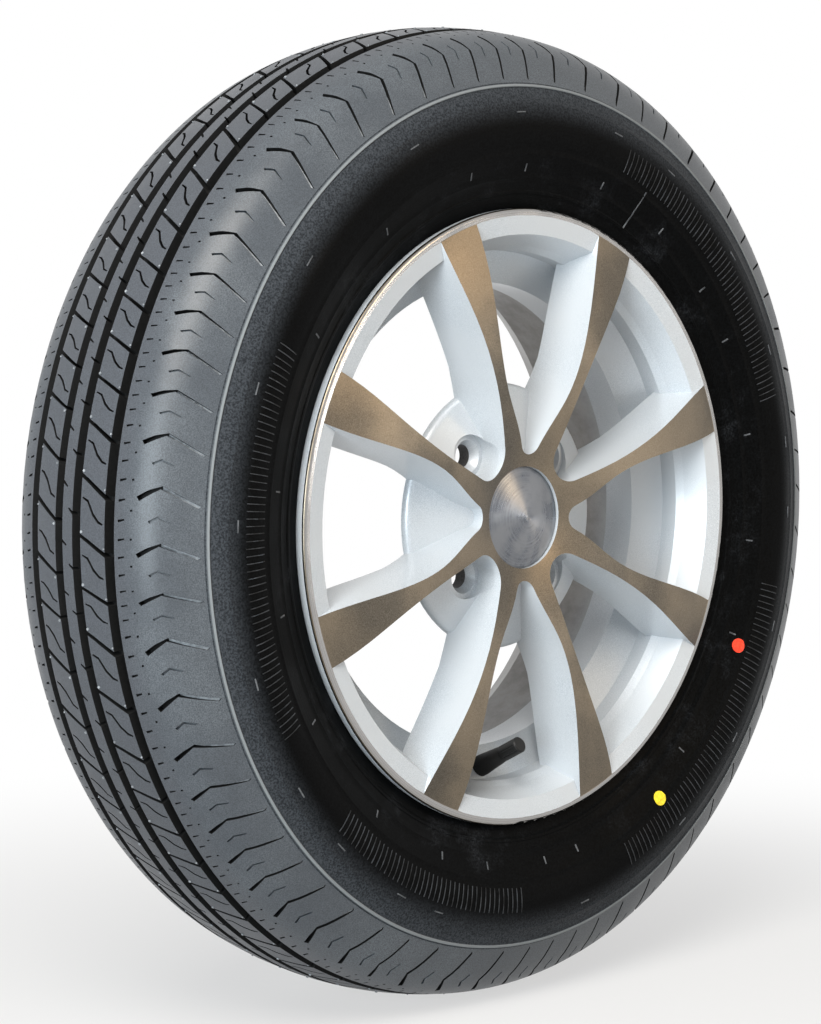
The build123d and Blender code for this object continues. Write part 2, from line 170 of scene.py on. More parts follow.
# Section of the tyre, found by rays through a ring at its middle, and the foot of the bead
SECTION_MIDDLE = 232.0 * MM
SECTION_REACH = 150.0 * MM
SECTION_END = 126.0
SECTION_STEPS = 252
SECTION_SAMPLES = 8
SLOPE_SPAN = 2
INNER_STEPS = 12
FOOT_BAND = MM / 20
HEEL_RISE = 2 * MM

# Raised rings as (radius, half width, height), with their top and foot as shares of the half width
SIDE_ROW = 3.2 * MM
LINE_RING = (253.4 * MM, 0.6 * MM, 0.9 * MM)
SIDE_RINGS = [
    LINE_RING,
    (243.5 * MM, 0.5 * MM, 0.25 * MM),
    (214.0 * MM, 0.5 * MM, 0.3 * MM),
    (200.5 * MM, 0.5 * MM, 0.3 * MM),
    (192.0 * MM, 0.8 * MM, 0.5 * MM),
]
RING_TOP = 0.8
RING_FOOT = 1.6

# Beside the rim flange the sidewall sinks a little, so that the two meet in a clean line
CLINCH_TOP = 190.5 * MM
CLINCH_FOOT = 187.0 * MM
CLINCH_SINK = 0.45 * MM
CLINCH_ROW = 1.8 * MM

# Radii at which the colours of the sidewall change: its haze of dust, its shoulder, which turns lighter as
# a painted sheen, and both sides of its pale line, a painted highlight on the raised ring
HAZE_RANGE = (202 * MM, 220 * MM)
SHOULDER_SHEEN_RANGE = (229 * MM, 252 * MM)
LINE_HIGHLIGHT_START = (LINE_RING[0] - 1.2 * MM, LINE_RING[0] - 0.6 * MM)
LINE_HIGHLIGHT_STOP = (LINE_RING[0] + 0.5 * MM, LINE_RING[0] + 1.0 * MM)

# How the corners of a new mesh are joined and smoothed
JOIN_DISTANCE = 0.005 * MM
SLIVER_EDGE = JOIN_DISTANCE / 10
SMOOTH_ANGLE = 32.0

# Sockets of the Mix node that are for colours
MIX_SHARE = 0
MIX_FIRST = 6
MIX_SECOND = 7
MIX_RESULT = 2

# Stage, with its lights as (name, place, size, power in watts, colour)
FLOOR_HALF = 20.0
FLOOR_GREY = 0.62
FLOOR_ROUGHNESS = 0.8
FLOOR_FADE = (0.3, 0.95)
FLOOR_WHITE = (0.6, 1.0)
WORLD_COLOUR = (0.9, 0.95, 1.0, 1.0)
WORLD_STRENGTH = 0.16
LIGHTS = [
    ("left_window", (-2.2, -0.85, 0.1), (0.9, 1.2), 52.0, (0.82, 0.93, 1.0)),
    ("key_panel", (-1.41, -0.95, 1.6), (1.3, 1.3), 72.0, (1.0, 0.96, 0.90)),
    ("right_panel", (1.2, -2.1, 0.75), (0.6, 1.0), 9.0, (1.0, 0.74, 0.45)),
    ("low_panel", (1.45, -2.0, 0.0), (0.8, 0.08), 2.4, (1.0, 0.98, 0.95)),
]


def polar(radius, angle, along):
    """A point of the wheel: angle in degrees clockwise from the top, seen from the street."""
    turn = math.radians(angle)
    return Vector((radius * math.sin(turn), along, radius * math.cos(turn)))


# Materials


class Nodes:
    """A tree of shader nodes, with short calls to add and join them."""

    def __init__(self, tree):
        self.tree = tree

    def add(self, kind, **settings):
        node = self.tree.nodes.new("ShaderNode" + kind)
        for key, value in settings.items():
            setattr(node, key, value)
        return node

    def feed(self, value, socket):
        """Joins an output to a socket, or sets the socket to a plain value."""
        if isinstance(value, bpy.types.NodeSocket):
            self.tree.links.new(value, socket)
        else:
            socket.default_value = value

    def math(self, operation, first, second=0.0):
        node = self.add("Math", operation=operation)
        self.feed(first, node.inputs[0])
        self.feed(second, node.inputs[1])
        return node.outputs[0]

    def seen(self):
        """1 for what the camera sees, also in metal and through glass, and 0 for the light that falls."""
        path = self.add("LightPath")
        seen = self.math("MAXIMUM", path.outputs["Is Camera Ray"], path.outputs["Is Transmission Ray"])
        return self.math("MAXIMUM", seen, path.outputs["Is Glossy Ray"])

    def choose(self, share, first, second, output):
        """Joins two shaders, mixed by a share, to the tree's output."""
        node = self.add("MixShader")
        for value, socket in zip((share, first, second), node.inputs):
            self.feed(value, socket)
        self.feed(node.outputs[0], self.tree.nodes[output].inputs["Surface"])


class Paint(Nodes):
    """A material with one main shader, and the patterns that feed it."""

    def __init__(self, name):
        self.material = bpy.data.materials.new(name)
        self.material.use_nodes = True
        super().__init__(self.material.node_tree)
        self.surface = self.tree.nodes["Principled BSDF"]

    def set(self, **values):
        for key, value in values.items():
            self.feed(value, self.surface.inputs[key.replace("_", " ").title().replace("Ior", "IOR")])

    def place(self):
        return self.add("TexCoord").outputs["Object"]

    def radius(self):
        """Distance from the axle."""
        flat = self.add("VectorMath", operation="MULTIPLY")
        self.feed(self.place(), flat.inputs[0])
        flat.inputs[1].default_value = (1, 0, 1)
        length = self.add("VectorMath", operation="LENGTH")
        self.feed(flat.outputs[0], length.inputs[0])
        return length.outputs["Value"]

    def inboard(self):
        """Distance from the wheel's middle plane, away from the street."""
        parts = self.add("SeparateXYZ")
        self.feed(self.place(), parts.inputs[0])
        return parts.outputs["Y"]

    def along(self):
        """Distance from the wheel's middle plane to either side."""
        return self.math("ABSOLUTE", self.inboard())

    def noise(self, scale, detail, roughness=0.5):
        node = self.add("TexNoise")
        self.feed(self.place(), node.inputs["Vector"])
        node.inputs["Scale"].default_value = scale
        node.inputs["Detail"].default_value = detail
        node.inputs["Roughness"].default_value = roughness
        return node.outputs["Fac"]

    def rings(self, scale, detail=3.0):
        """Noise that changes only with the distance from the axle, as turning lines do."""
        node = self.add("TexNoise", noise_dimensions="1D")
        self.feed(self.radius(), node.inputs["W"])
        node.inputs["Scale"].default_value = scale
        node.inputs["Detail"].default_value = detail
        return node.outputs["Fac"]

    def range(self, value, low, high, new_low=0.0, new_high=1.0):
        node = self.add("MapRange", interpolation_type="SMOOTHSTEP")
        self.feed(value, node.inputs["Value"])
        limits = {"From Min": low, "From Max": high, "To Min": new_low, "To Max": new_high}
        for name, limit in limits.items():
            node.inputs[name].default_value = limit
        return node.outputs["Result"]

    def mix(self, share, first, second):
        node = self.add("Mix", data_type="RGBA")
        self.feed(share, node.inputs[MIX_SHARE])
        self.feed(first, node.inputs[MIX_FIRST])
        self.feed(second, node.inputs[MIX_SECOND])
        return node.outputs[MIX_RESULT]

    def bump(self, height, depth, strength):
        node = self.add("Bump")
        self.feed(height, node.inputs["Height"])
        node.inputs["Distance"].default_value = depth
        node.inputs["Strength"].default_value = strength
        self.feed(node.outputs["Normal"], self.surface.inputs["Normal"])


def grey(level):
    return (level, level, level, 1.0)


def machined_alloy():
    paint = Paint("machined_alloy")
    speckle = paint.range(paint.noise(1500.0, 4.0, 0.7), 0.3, 0.7)
    lines = paint.rings(1800.0)
    patches = paint.range(paint.noise(13.0, 3.0), 0.36, 0.64)
    metal = paint.mix(speckle, (0.070, 0.060, 0.046, 1.0), (0.235, 0.205, 0.168, 1.0))
    tint = paint.mix(patches, (0.068, 0.061, 0.050, 1.0), (0.252, 0.200, 0.138, 1.0))
    paint.set(base_color=paint.mix(0.55, metal, tint), metallic=1.0)
    paint.set(roughness=paint.range(lines, 0.2, 0.8, 0.30, 0.44))
    paint.bump(lines, 0.04 * MM, 0.6)
    return paint.material


def polished_edge():
    paint = Paint("polished_edge")
    lines = paint.rings(2600.0)
    base = paint.mix(paint.range(lines, 0.3, 0.7), (0.26, 0.25, 0.24, 1.0), (0.44, 0.43, 0.42, 1.0))
    paint.set(base_color=base, metallic=1.0)
    paint.set(roughness=paint.range(paint.noise(50.0, 3.0), 0.3, 0.7, 0.13, 0.24))
    paint.bump(lines, 0.03 * MM, 0.5)
    return paint.material


def mottled(name, noise, spread, colours, roughness, depth, shine=0.5, metallic=0.0):
    """A surface mottled in two colours, which is rougher and higher where the second one shows."""
    paint = Paint(name)
    mottle = paint.range(paint.noise(*noise), 0.5 - spread, 0.5 + spread)
    paint.set(base_color=paint.mix(mottle, *colours), specular_ior_level=shine, metallic=metallic)
    paint.set(roughness=paint.range(mottle, 0.0, 1.0, *roughness))
    paint.bump(mottle, depth, 0.4)
    return paint.material


# Near-black bare metal on the walls of the lug holes' bores, a painted shade inside the holes
def bare_shaded_casting():
    colours = ((0.030, 0.029, 0.028, 1.0), (0.075, 0.072, 0.070, 1.0))
    return mottled("bare_shaded_casting", (800.0, 4.0, 0.6), 0.2, colours, (0.50, 0.65), 0.05 * MM, metallic=0.3)


def silver_paint():
    paint = Paint("silver_paint")
    flakes = paint.range(paint.noise(2600.0, 2.0), 0.35, 0.65)
    patches = paint.range(paint.noise(18.0, 3.0), 0.3, 0.7)
    base = paint.mix(flakes, (0.37, 0.405, 0.44, 1.0), (0.56, 0.590, 0.62, 1.0))
    base = paint.mix(patches, base, (0.48, 0.505, 0.53, 1.0))
    # Inboard the paint turns to a darker streaked grey: a dull finish, and a painted shade deeper in the
    # barrel
    streaks = paint.range(paint.noise(45.0, 5.0, 0.65), 0.3, 0.7)
    dull_and_shade = paint.mix(streaks, (0.15, 0.137, 0.125, 1.0), (0.28, 0.265, 0.250, 1.0))
    paint.set(base_color=paint.mix(paint.range(paint.inboard(), *DULL_SHADE_RANGE), base, dull_and_shade))
    paint.set(metallic=0.12, roughness=paint.range(patches, 0.0, 1.0, 0.28, 0.38))
    paint.set(coat_weight=0.25, coat_roughness=0.08)
    paint.bump(flakes, 0.02 * MM, 0.5)
    return paint.material


def tread_rubber():
    paint = Paint("tread_rubber")
    grain = paint.noise(1500.0, 5.0, 0.6)
    # Paler, bluer mottling towards the shoulders, dust bloom together with a painted sheen
    dust = paint.range(paint.noise(14.0, 4.0, 0.6), 0.35, 0.7)
    bloom_and_sheen = paint.mix(dust, (0.064, 0.074, 0.086, 1.0), (0.104, 0.118, 0.132, 1.0))
    bloom_and_sheen_share = paint.range(paint.along(), *BLOOM_SHEEN_RANGE)
    base = paint.mix(bloom_and_sheen_share, (0.072, 0.079, 0.092, 1.0), bloom_and_sheen)
    paint.set(base_color=paint.mix(paint.range(grain, 0.3, 0.7), (0.036, 0.040, 0.046, 1.0), base))
    paint.set(roughness=paint.range(dust, 0.0, 1.0, 0.36, 0.48), specular_ior_level=0.38)
    paint.bump(grain, 0.10 * MM, 0.4)
    return paint.material


def side_rubber():
    paint = Paint("side_rubber")
    radius = paint.radius()
    grain = paint.noise(900.0, 5.0, 0.6)
    speckle = paint.range(grain, 0.35, 0.65)
    base = paint.mix(speckle, grey(0.0008), (0.0030, 0.0033, 0.0035, 1.0))
    near_rim = paint.range(radius, *HAZE_RANGE, 1.0, 0.0)
    haze = paint.math("MULTIPLY", near_rim, paint.range(paint.noise(36.0, 8.0, 0.8), 0.5, 0.9))
    base = paint.mix(haze, base, paint.mix(speckle, (0.005, 0.006, 0.007, 1.0), (0.042, 0.045, 0.051, 1.0)))
    # Lighter towards the shoulder, a painted sheen
    shoulder_sheen = paint.mix(speckle, (0.018, 0.020, 0.023, 1.0), (0.052, 0.058, 0.066, 1.0))
    base = paint.mix(paint.range(radius, *SHOULDER_SHEEN_RANGE), base, shoulder_sheen)
    # A pale band over the raised line ring, a painted highlight
    line = paint.range(radius, *LINE_HIGHLIGHT_START)
    past = paint.range(radius, *LINE_HIGHLIGHT_STOP, 1.0, 0.0)
    base = paint.mix(paint.math("MULTIPLY", line, past), base, (0.19, 0.205, 0.215, 1.0))
    paint.set(base_color=base, specular_ior_level=0.025)
    paint.set(roughness=paint.range(paint.noise(22.0, 3.0), 0.3, 0.7, 0.36, 0.50))
    paint.bump(paint.rings(700.0), 0.10 * MM, 0.4)
    return paint.material


# Near-black rubber for the floors and walls of grooves and cuts, a painted shade in them
def shaded_groove_rubber():
    paint = Paint("shaded_groove_rubber")
    grain = paint.noise(900.0, 4.0)
    paint.set(base_color=paint.mix(grain, grey(0.005), grey(0.014)), specular_ior_level=0.1)
    paint.set(roughness=paint.range(grain, 0.2, 0.8, 0.50, 0.65))
    paint.bump(grain, 0.10 * MM, 0.4)
    return paint.material


# Pale rubber for the vent stubs and the outer legs of long slots: dust, and a painted highlight
def dusty_highlight_rubber():
    colours = ((0.14, 0.15, 0.16, 1.0), (0.34, 0.36, 0.38, 1.0))
    return mottled("dusty_highlight_rubber", (300.0, 4.0, 0.6), 0.2, colours, (0.45, 0.60), 0.10 * MM, 0.3)


# Rubber a little paler than the sidewall for the hatching, a painted highlight on its raised bars
def hatch_highlight_rubber():
    colours = (grey(0.006), (0.042, 0.045, 0.050, 1.0))
    return mottled("hatch_highlight_rubber", (120.0, 5.0, 0.7), 0.15, colours, (0.40, 0.55), 0.05 * MM, 0.15)


# Pale rubber for the sidewall's dashes and seam mark, a painted highlight on their raised tops
def dash_highlight_rubber():
    colours = ((0.040, 0.043, 0.047, 1.0), (0.120, 0.126, 0.134, 1.0))
    return mottled("dash_highlight_rubber", (160.0, 5.0, 0.7), 0.15, colours, (0.42, 0.58), 0.05 * MM, 0.2)


def dot_paint(name):
    return mottled(name, (700.0, 3.0), 0.15, DOT_COLOURS[name], (0.35, 0.50), 0.08 * MM, 0.4)


def bright_plating():
    paint = Paint("bright_plating")
    lines = paint.rings(900.0, 4.0)
    cloud = paint.range(paint.noise(55.0, 4.0, 0.6), 0.35, 0.65)
    base = paint.mix(paint.range(lines, 0.3, 0.7), (0.112, 0.120, 0.136, 1.0), (0.185, 0.196, 0.216, 1.0))
    base = paint.mix(cloud, base, (0.235, 0.240, 0.250, 1.0))
    paint.set(base_color=base, metallic=1.0, anisotropic=0.9, anisotropic_rotation=0.25)
    paint.set(roughness=paint.range(cloud, 0.0, 1.0, 0.26, 0.34))
    turned = paint.add("Tangent", direction_type="RADIAL", axis="Y")
    paint.feed(turned.outputs["Tangent"], paint.surface.inputs["Tangent"])
    paint.bump(lines, 0.01 * MM, 0.2)
    return paint.material


def plain_metal(name, dark, light, roughness):
    paint = Paint(name)
    grain = paint.noise(3000.0, 3.0)
    paint.set(base_color=paint.mix(paint.range(grain, 0.3, 0.7), dark, light), metallic=1.0)
    paint.set(roughness=paint.range(grain, 0.2, 0.8, roughness, roughness + 0.1))
    paint.bump(grain, 0.01 * MM, 0.5)
    return paint.material


def plain_moulding(name, dark, light, roughness):
    paint = Paint(name)
    grain = paint.noise(2400.0, 4.0, 0.6)
    paint.set(base_color=paint.mix(paint.range(grain, 0.3, 0.7), grey(dark), grey(light)))
    paint.set(specular_ior_level=0.15)
    paint.set(roughness=paint.range(grain, 0.2, 0.8, roughness, roughness + 0.12))
    paint.bump(grain, 0.03 * MM, 0.5)
    return paint.material


# Wheel


def circle_through(first, second, third):
    """Centre and radius of the circle through three points of a plane."""
    (ax, ay), (bx, by), (cx, cy) = first, second, third
    twist = 2 * (ax * (by - cy) + bx * (cy - ay) + cx * (ay - by))
    a, b, c = ax * ax + ay * ay, bx * bx + by * by, cx * cx + cy * cy
    x = (a * (by - cy) + b * (cy - ay) + c * (ay - by)) / twist
    y = (a * (cx - bx) + b * (ax - cx) + c * (bx - ax)) / twist
    return (x, y), math.hypot(ax - x, ay - y)


FACE_MIDDLE, FACE_SIZE = circle_through(FACE_START, FACE_CROWN, FACE_END)


def on_face(point):
    """Whether a point lies on the turned face of the spokes."""
    radius = math.hypot(point.x, point.z)
    off_face = abs(math.dist((radius, -point.y), FACE_MIDDLE) - FACE_SIZE)
    return off_face < FACE_TOLERANCE and FACE_START[0] - FACE_TOLERANCE < radius


def on_edge(point):
    """Whether a point lies on the rim's flat street edge."""
    return -point.y > LIP_HEIGHT - EDGE_TOLERANCE and math.hypot(point.x, point.z) > EDGE_START


def in_lug_hole(point):
    """Whether a point lies on the wall of a lug hole, behind its seat."""
    return any((polar(LUG_CIRCLE, angle, point.y) - point).length < LUG_HOLE for angle in LUG_ANGLES)


def wheel_finish(points):
    """The material slot of a face of the wheel that has these corners."""
    for finish, test in ((TURNED, on_face), (EDGE, on_edge), (BARE_SHADE, in_lug_hole)):
        if all(map(test, points)):
            return finish
    return PAINTED


def dress_wheel():
    mesh = nodes["wheel"].data
    mesh.materials.clear()
    for make in (silver_paint, machined_alloy, polished_edge, bare_shaded_casting):
        mesh.materials.append(make())
    for polygon in mesh.polygons:
        polygon.material_index = wheel_finish([mesh.vertices[index].co for index in polygon.vertices])


def dress(names, material):
    for name in names:
        mesh = nodes[name].data
        mesh.materials.clear()
        mesh.materials.append(material)


# Tyre


class Section:
    """The outer line of the tyre's section, from the tread's middle down to the rim flange."""

    def __init__(self, mesh):
        self.tree = BVHTree.FromPolygons([v.co for v in mesh.vertices], [p.vertices for p in mesh.polygons])
        reach = [self.outermost(SECTION_END * step / SECTION_STEPS) for step in range(SECTION_STEPS + 1)]
        points = []
        for step, distance in enumerate(reach):
            turn = math.radians(SECTION_END * step / SECTION_STEPS)
            point = (SECTION_MIDDLE + distance * math.cos(turn), distance * math.sin(turn))
            in_groove = any(abs(point[1] - groove) < GROOVE_HALF_TOP + GROOVE_MARGIN for groove in GROOVES)
            if not in_groove:
                points.append(point)
        self.points = points
        self.lengths = [0.0]
        for first, second in zip(points, points[1:]):
            self.lengths.append(self.lengths[-1] + math.dist(first, second))
        self.end = self.lengths[-1]

    def outermost(self, degrees):
        """How far the section reaches from its middle in one direction, clear of slots."""
        turn = math.radians(degrees)
        best = 0.0
        for sample in range(SECTION_SAMPLES):
            angle = sample * max(PITCH_ANGLES.values()) / SECTION_SAMPLES
            out = polar(math.cos(turn), angle, -math.sin(turn))
            middle = polar(SECTION_MIDDLE, angle, 0.0)
            hit = self.tree.ray_cast(middle + out * SECTION_REACH, -out)[0]
            if hit is not None:
                best = max(best, (hit - middle).length)
        return best

    def at(self, reach):
        """Radius, distance from the middle plane and outward direction at a length along the line."""
        high = min(max(bisect_right(self.lengths, reach), 1), len(self.lengths) - 1)
        low = high - 1
        first, second = self.points[low], self.points[high]
        share = (reach - self.lengths[low]) / (self.lengths[high] - self.lengths[low])
        before = self.points[max(low - SLOPE_SPAN, 0)]
        after = self.points[min(high + SLOPE_SPAN, len(self.points) - 1)]
        run = math.dist(before, after)
        out = ((after[1] - before[1]) / run, (before[0] - after[0]) / run)
        place = [a + share * (b - a) for a, b in zip(first, second)]
        return place[0], place[1], out

    def stand(self, reach, angle):
        """A point on the line at an angle, with the direction that points out of the rubber there."""
        foot = self.place(reach, angle, 0.0)
        return foot, (self.place(reach, angle, -MM) - foot).normalized()

    def out_to(self, across):
        """The signed length along the line for a signed distance from the middle plane."""
        size = abs(across)
        for index in range(1, len(self.points)):
            low, high = self.points[index - 1][1], self.points[index][1]
            if high >= size:
                start, stop = self.lengths[index - 1], self.lengths[index]
                return math.copysign(start + (size - low) / (high - low) * (stop - start), across)
        return math.copysign(self.end, across)

    def down_to(self, radius):
        """The first length along the line at which it is down to a radius."""
        for length, point in zip(self.lengths, self.points):
            if point[0] <= radius:
                return length
        return self.end

    def place(self, reach, angle, depth):
        """A point at a signed length from the tread's middle, sunk by a depth."""
        radius, along, out = self.at(abs(reach))
        side = 1 if reach >= 0 else -1
        return polar(radius - out[0] * depth, angle, -side * (along - out[1] * depth))


def groove_depth(along):
    """Depth of the main grooves at a distance from the tread's middle."""
    for groove in GROOVES:
        off = abs(along - groove)
        if off < GROOVE_HALF_TOP:
            slope = (GROOVE_HALF_TOP - off) / (GROOVE_HALF_TOP - GROOVE_HALF_FLOOR)
            return GROOVE_DEPTH * min(1.0, slope)
    return 0.0


def strip(line):
    """The outline of a cut that follows a line of (across, along, width, depth) points in millimetres."""
    left = []
    right = []
    for index, (across, along, width, _depth) in enumerate(line):
        before = line[max(index - 1, 0)]
        after = line[min(index + 1, len(line) - 1)]
        run = (after[0] - before[0], after[1] - before[1])
        size = math.hypot(*run)
        shift = (-run[1] / size * width / 2, run[0] / size * width / 2)
        left.append(((across + shift[0]) * MM, (along + shift[1]) * MM))
        right.append(((across - shift[0]) * MM, (along - shift[1]) * MM))
    outline = left + right[::-1]
    turning = sum(a[0] * b[1] - a[1] * b[0] for a, b in zip(outline, outline[1:] + outline[:1]))
    return outline if turning > 0 else outline[::-1]


def line_depth(line, across):
    """Depth of a cut at a distance across the tread."""
    for (low, _, _, depth), (high, _, _, next_depth) in zip(line, line[1:]):
        if across <= high * MM or high == line[-1][0]:
            share = max(0.0, min(1.0, (across / MM - low) / (high - low)))
            return (depth + share * (next_depth - depth)) * MM


class Cell:
    """One pitch of the tread as a flat pattern: corners with their depth, and faces between them."""

    def __init__(self, section):
        cuts = [SLOT, SHORT_SLOT, RIB_NOTCH, RIB_SIPE, MIDDLE_NOTCH] + EDGE_TICKS + EDGE_PITS
        self.section = section
        self.edge = section.down_to(TREAD_EDGE)
        flat = []
        edges = []
        faces = []
        steps = [MEAN_PITCH * step / CELL_STEPS for step in range(CELL_STEPS + 1)]
        for row in self.rows():
            first = len(flat)
            flat += [Vector((row, step)) for step in steps]
            edges += [(first + step, first + step + 1) for step in range(CELL_STEPS)]
        for side in (1, -1):
            for line in cuts:
                first = len(flat)
                outline = [(side * across, along) for across, along in strip(line)]
                if side < 0:
                    outline = [(across, MEAN_PITCH - along) for across, along in outline]
                flat += [Vector((section.out_to(across), along)) for across, along in outline]
                faces.append(list(range(first, len(flat))))
        self.flat, _, triangles, _, _, owners = delaunay_2d_cdt(flat, edges, faces, 0, CELL_TOLERANCE)
        self.corners = {}
        self.faces = []
        borders = {}
        for triangle, owner in zip(triangles, owners):
            cut = cuts[owner[0] % len(cuts)] if owner else None
            across = sum(section.at(abs(self.flat[index][0]))[1] for index in triangle) / 3
            sunk = cut is not None or groove_depth(across) > 0
            kind = self.floor_kind(cut, across) if sunk else TREAD
            self.faces.append(([self.corner(index, cut) for index in triangle], kind))
            for first, second in zip(triangle, triangle[1:] + triangle[:1]):
                borders.setdefault((min(first, second), max(first, second)), []).append(cut)
        for (first, second), sides in borders.items():
            if len(sides) == 2 and sides[0] is not sides[1]:
                self.add_wall(first, second, sides)

    def rows(self):
        """Lengths from the tread's middle at which the pattern has a row of corners."""
        marks = [0.0]
        for groove in GROOVES:
            for half in (-GROOVE_HALF_TOP, -GROOVE_HALF_FLOOR, GROOVE_HALF_FLOOR, GROOVE_HALF_TOP):
                marks.append(self.section.out_to(groove + half))
        marks.append(self.edge)
        rows = []
        for first, second in zip(marks, marks[1:]):
            count = max(1, round((second - first) / RIB_ROW))
            rows += [first + (second - first) * step / count for step in range(count)]
        rows.append(self.edge)
        return [-row for row in rows[:0:-1]] + rows

    def corner(self, index, cut):
        """The number of a corner, which lies deeper as part of a cut than as part of the tread."""
        key = (index, id(cut))
        if key not in self.corners:
            reach, along = self.flat[index]
            across = self.section.at(abs(reach))[1]
            depth = groove_depth(across)
            if cut is not None:
                depth = max(depth, line_depth(cut, across))
            self.corners[key] = (len(self.corners), reach, along / MEAN_PITCH, depth)
        return self.corners[key][0]

    def add_wall(self, first, second, sides):
        """The wall between the floor of a cut and the tread beside it."""
        loop = [self.corner(first, sides[0]), self.corner(second, sides[0])]
        loop += [self.corner(second, sides[1]), self.corner(first, sides[1])]
        # All walls but those of short slots take the groove rubber, a painted shade
        self.faces.append((loop, TREAD if SHORT_SLOT in sides else GROOVE_SHADE))

    @staticmethod
    def floor_kind(cut, across):
        """Short slots are as pale as the rib, the outer leg of a long slot is dusty rubber with a painted
        highlight, and others are near black with a painted shade.
        """
        if cut is SHORT_SLOT:
            return TREAD
        return DUSTY_HIGHLIGHT if cut is SLOT and across > HIGHLIGHT_FROM else GROOVE_SHADE


def pitch_starts():
    """Start and size of each pitch, clockwise from the top."""
    end = PITCH_START
    for name in PITCH_ORDER * PITCH_TURNS:
        size = PITCH_ANGLES[name]
        yield end - size, size
        end -= size


def ring_height(radius):
    """How far the sidewall's raised rings stand out at a radius."""
    rise = 0.0
    for middle, half, height in SIDE_RINGS:
        share = (RING_FOOT - abs(radius - middle) / half) / (RING_FOOT - RING_TOP)
        rise += height * min(1.0, max(0.0, share))
    return rise


def side_rows(section, start):
    """Lengths of the sidewall's rows, each with its height above the plain section."""
    marks = {start: 0.0, section.end: -CLINCH_SINK}
    marks[section.down_to(CLINCH_TOP)] = 0.0
    marks[section.down_to(CLINCH_FOOT)] = -CLINCH_SINK
    for middle, half, height in SIDE_RINGS:
        for shift, rise in ((-RING_FOOT, 0.0), (-RING_TOP, height), (RING_TOP, height), (RING_FOOT, 0.0)):
            reach = section.down_to(middle + shift * half)
            if start < reach < section.end:
                marks[reach] = rise
    rows = sorted(marks.items())
    filled = []
    for (first, low), (second, high) in zip(rows, rows[1:]):
        row = SIDE_ROW if section.at(first)[0] > CLINCH_TOP else CLINCH_ROW
        count = max(1, round((second - first) / row))
        for step in range(count):
            filled.append((first + (second - first) * step / count, low + (high - low) * step / count))
    filled.append(rows[-1])
    return filled


def inner_points(section, mesh):
    """The bead's foot and the inner wall of one side, from the flange to the tread's middle."""
    low = min(math.hypot(v.co.x, v.co.z) for v in mesh.vertices)
    foot = [-v.co.y for v in mesh.vertices if math.hypot(v.co.x, v.co.z) < low + FOOT_BAND]
    heel = max(-v.co.y for v in mesh.vertices if math.hypot(v.co.x, v.co.z) < low + HEEL_RISE)
    points = [(low + HEEL_RISE, heel), (low, max(foot))]
    for step in range(INNER_STEPS, -1, -1):
        turn = math.radians(SECTION_END * step / INNER_STEPS)
        out = polar(math.cos(turn), 0.0, -math.sin(turn))
        hit = section.tree.ray_cast(polar(SECTION_MIDDLE, 0.0, 0.0), out)[0]
        if hit is not None:
            points.append((math.hypot(hit.x, hit.z), -hit.y))
    return points


def make_tyre():
    mesh = nodes["tyre"].data
    section = Section(mesh)
    cell = Cell(section)
    corners = []
    faces = []
    pattern = sorted(cell.corners.values())
    columns = []
    for start, size in pitch_starts():
        first = len(corners)
        corners += [section.place(reach, start + size * along, depth) for _, reach, along, depth in pattern]
        faces += [([first + index for index in loop], kind) for loop, kind in cell.faces]
        columns += [start + size * step / CELL_STEPS for step in range(CELL_STEPS, 0, -1)]
    for side in (1, -1):
        rows = [
            [section.place(side * reach, angle, -rise) for angle in columns]
            for reach, rise in side_rows(section, cell.edge)
        ]
        rows += [
            [polar(radius, angle, -side * along) for angle in columns]
            for radius, along in inner_points(section, mesh)
        ]
        add_band(corners, faces, rows, SIDE)
    add_vents(section, corners, faces)
    add_marks(section, corners, faces)
    tyre = new_piece("tyre_moulding", corners, faces)
    for make in (tread_rubber, side_rubber, shaded_groove_rubber, dusty_highlight_rubber, hatch_highlight_rubber, dash_highlight_rubber):
        tyre.data.materials.append(make())
    for name, (angle, radius) in PAINT_DOTS.items():
        make_dot(section, name, angle, radius)
    return tyre


def add_stub(corners, faces, outline, height, kind):
    """A closed stub that stands on an outline of (foot, outward direction) pairs."""
    count = len(outline)
    first = len(corners)
    corners += [foot - out * MARK_SINK for foot, out in outline]
    corners += [foot + out * height for foot, out in outline]
    faces.append((list(range(first, first + count))[::-1], kind))
    faces.append((list(range(first + count, first + 2 * count)), kind))
    for index in range(count):
        following = (index + 1) % count
        loop = [first + index, first + following, first + count + following, first + count + index]
        faces.append((loop, kind))


def add_vents(section, corners, faces):
    """Stubs of rubber that the mould's vents leave on the ribs of both halves of the tread."""
    for start, size in pitch_starts():
        for across, along, radius in VENTS:
            for side in (1, -1):
                share = along * MM / MEAN_PITCH
                angle = start + size * (share if side > 0 else 1 - share)
                reach = section.out_to(side * across * MM)
                outline = []
                for step in range(VENT_SIDES):
                    turn = math.tau * step / VENT_SIDES
                    swing = math.degrees(radius * MM * math.sin(turn) / section.at(abs(reach))[0])
                    outline.append(section.stand(reach + radius * MM * math.cos(turn), angle + swing))
                # The stubs take the pale rubber, partly a painted highlight
                add_stub(corners, faces, outline, VENT_HEIGHT, DUSTY_HIGHLIGHT)


def add_bar(section, corners, faces, angle, radii, width, height, kind):
    """A raised bar that runs outwards over the street sidewall, in short lengths that follow it."""
    count = max(1, round((radii[1] - radii[0]) / BAR_LENGTH))
    ends = [radii[0] + (radii[1] - radii[0]) * step / count for step in range(count + 1)]
    for low, high in zip(ends, ends[1:]):
        outline = []
        for radius, side in ((low, -1), (low, 1), (high, 1), (high, -1)):
            swing = math.degrees(side * width / 2 / radius)
            foot, out = section.stand(section.down_to(radius), angle + swing)
            outline.append((foot + out * ring_height(radius), out))
        add_stub(corners, faces, outline, height, kind)


